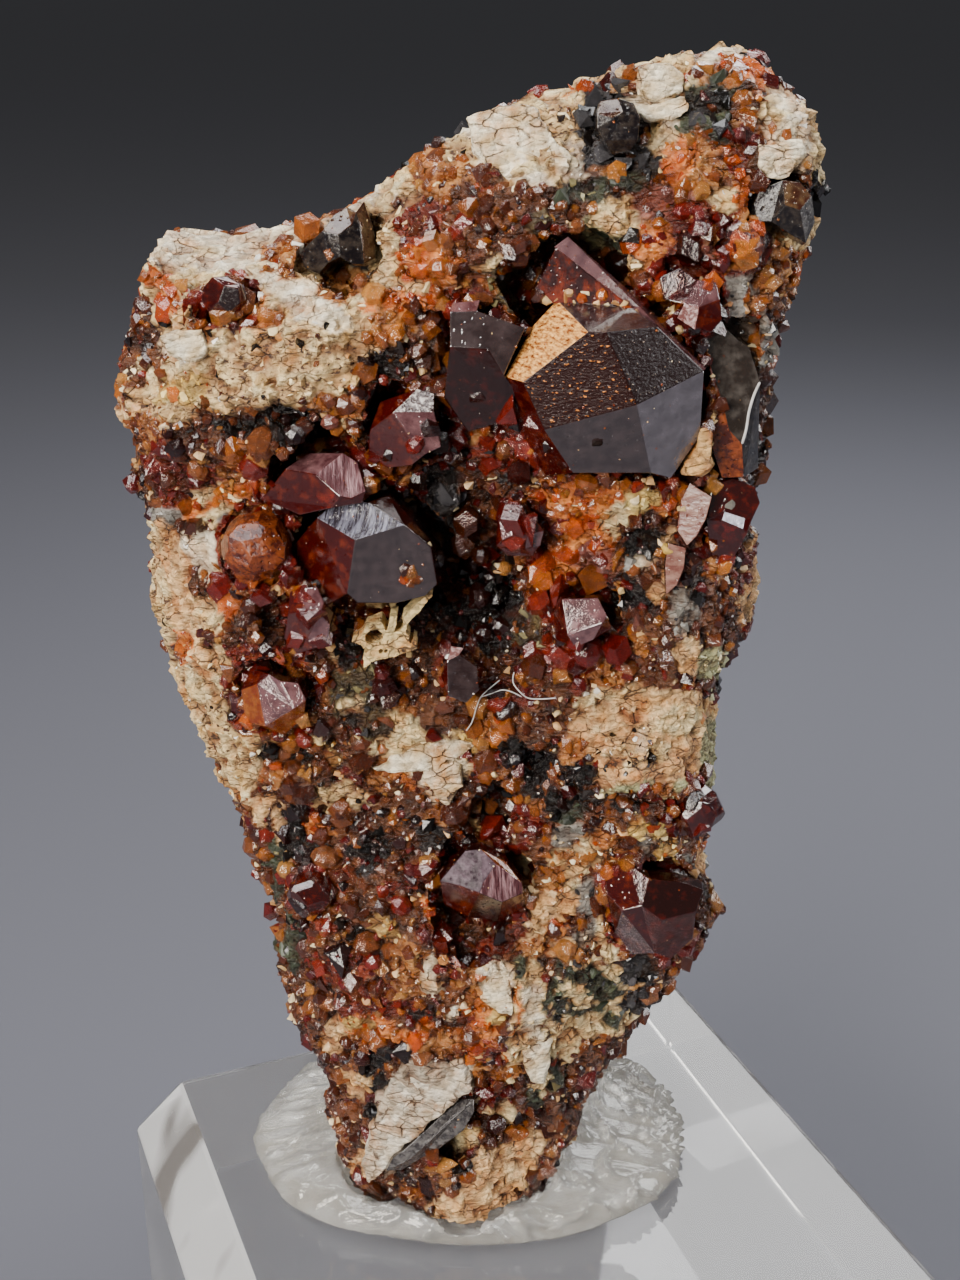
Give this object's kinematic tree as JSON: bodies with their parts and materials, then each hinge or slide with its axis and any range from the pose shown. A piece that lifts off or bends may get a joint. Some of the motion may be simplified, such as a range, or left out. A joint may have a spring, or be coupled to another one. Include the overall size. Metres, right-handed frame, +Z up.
{
  "type": "garnet in matrix on a display block",
  "caption": "Red-brown garnet crystals grown on a tapering feldspar and quartz matrix, stood upright in clear tack on a bevelled clear acrylic block.",
  "frame": {"origin": "centre of the acrylic block's flat underside", "axes": "+Z up along the stone; the stone's display face looks along -Y, and the block's sides are turned 21.9 degrees about Z from the row axes"},
  "size_m": [0.0496, 0.0496, 0.0792],
  "materials": {
    "acrylic": "clear polished acrylic",
    "tack": "soft translucent mineral tack",
    "rock": "rough broken feldspar, quartz and fine garnet",
    "garnet": "glassy natural crystal faces",
    "smoky_quartz": "glassy grey natural crystal"
  },
  "bodies": {
    "root": {"display_block": "acrylic", "mineral_tack": "tack", "matrix": "rock", "garnet_great": "garnet", "garnet_left": "garnet", "garnet_lower": "garnet", "garnet_centre": "garnet", "garnet_beside_great": "garnet", "garnet_upper_left": "garnet", "garnet_round_left": "garnet", "garnet_red_left": "garnet", "garnet_pink_left": "garnet", "garnet_right_centre": "garnet", "garnet_right_edge": "garnet", "garnet_waist": "garnet", "garnet_lower_left": "garnet", "garnet_lower_right": "garnet", "garnet_low_right_edge": "garnet", "garnet_on_boss": "garnet", "garnet_orange_right": "garnet", "garnet_red_upper": "garnet", "smoky_quartz_plate": "smoky_quartz", "smoky_quartz_splinter": "smoky_quartz", "smoky_quartz_top": "smoky_quartz", "smoky_quartz_upper_left": "smoky_quartz", "smoky_quartz_right": "smoky_quartz"}
  },
  "joints": []
}
